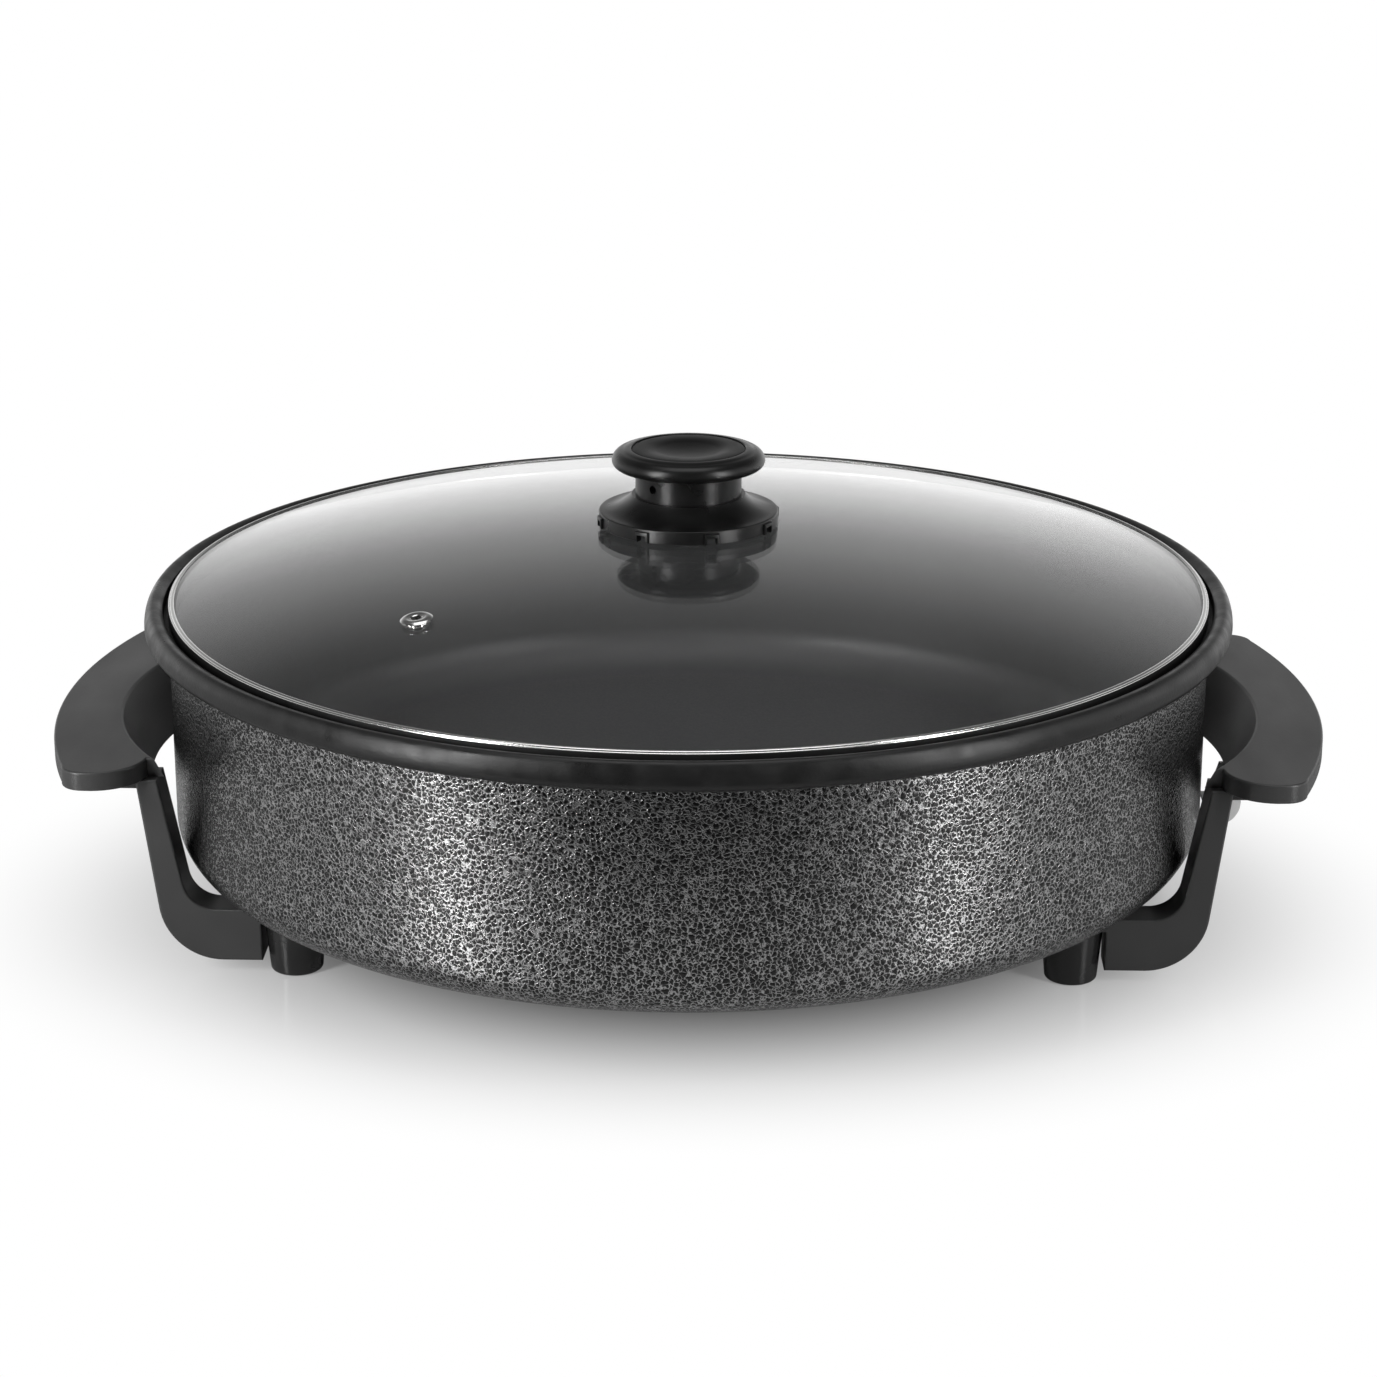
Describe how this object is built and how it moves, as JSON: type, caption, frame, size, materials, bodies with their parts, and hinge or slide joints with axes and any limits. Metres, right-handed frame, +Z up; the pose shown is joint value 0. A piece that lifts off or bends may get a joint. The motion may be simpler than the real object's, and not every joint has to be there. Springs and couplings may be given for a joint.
{
  "type": "electric skillet",
  "caption": "Round deep electric skillet with a domed glass lid and knob, a grip on each side, legs with round feet and a recessed inlet for a plug-in thermostat.",
  "frame": {"origin": "centre of the base, on the surface that the feet stand on", "axes": "+Z up along the pan's axis; the two grips lie on the X axis and the thermostat inlet opens towards +X; -Y is the front"},
  "size_m": [0.504, 0.43, 0.192],
  "materials": {
    "pan_coat": "cast aluminium under hammered dark grey enamel outside and a dark non-stick coat inside",
    "rim_coat": "aluminium under satin black enamel",
    "cradle_metal": "bare cast aluminium, dull",
    "black_plastic": "satin black phenolic",
    "foot_plastic": "semi-gloss black phenolic",
    "knob_plastic": "satin to gloss black phenolic",
    "glass": "clear tempered glass, polished",
    "band_steel": "bright stainless steel",
    "guard_steel": "dull zinc-plated sheet steel",
    "screw_steel": "zinc-plated steel",
    "heater_sheath": "dull heat-tinted steel",
    "pin_nickel": "nickel-plated",
    "sleeve_steel": "plain stainless steel",
    "ceramic": "unglazed white ceramic",
    "insert_brass": "plain turned brass",
    "gasket_rubber": "matt black silicone"
  },
  "bodies": {
    "skillet": {"pan_body": "pan_coat", "pan_rim": "rim_coat", "heater_cradle": "cradle_metal", "probe_block": "cradle_metal", "foot_standoffs": "screw_steel", "heating_element": "heater_sheath", "terminal_pins": "pin_nickel", "terminal_insulators": "ceramic", "probe_sleeve": "sleeve_steel", "inlet_housing": "black_plastic", "inlet_screws": "screw_steel", "right_grip": "black_plastic", "left_grip": "black_plastic", "foot_screws": "screw_steel", "grip_screws": "screw_steel", "plug_guard": "guard_steel", "guard_screws": "screw_steel", "leg_front_left": "black_plastic", "leg_front_right": "black_plastic", "leg_back_left": "black_plastic", "leg_back_right": "black_plastic", "foot_front_left": "foot_plastic", "foot_front_right": "foot_plastic", "foot_back_left": "foot_plastic", "foot_back_right": "foot_plastic"},
    "lid": {"lid_glass": "glass", "lid_band": "band_steel", "vent_eyelet": "band_steel", "knob_skirt": "knob_plastic", "knob_grip": "knob_plastic", "knob_inlay": "knob_plastic", "knob_insert": "insert_brass", "knob_gasket": "gasket_rubber", "knob_washer": "screw_steel", "knob_screw": "screw_steel"}
  },
  "joints": [
    {"name": "lid_lift", "type": "slide", "parent": "skillet", "child": "lid", "axis": [0, 0, 1], "range_m": [0, 0.2]}
  ]
}
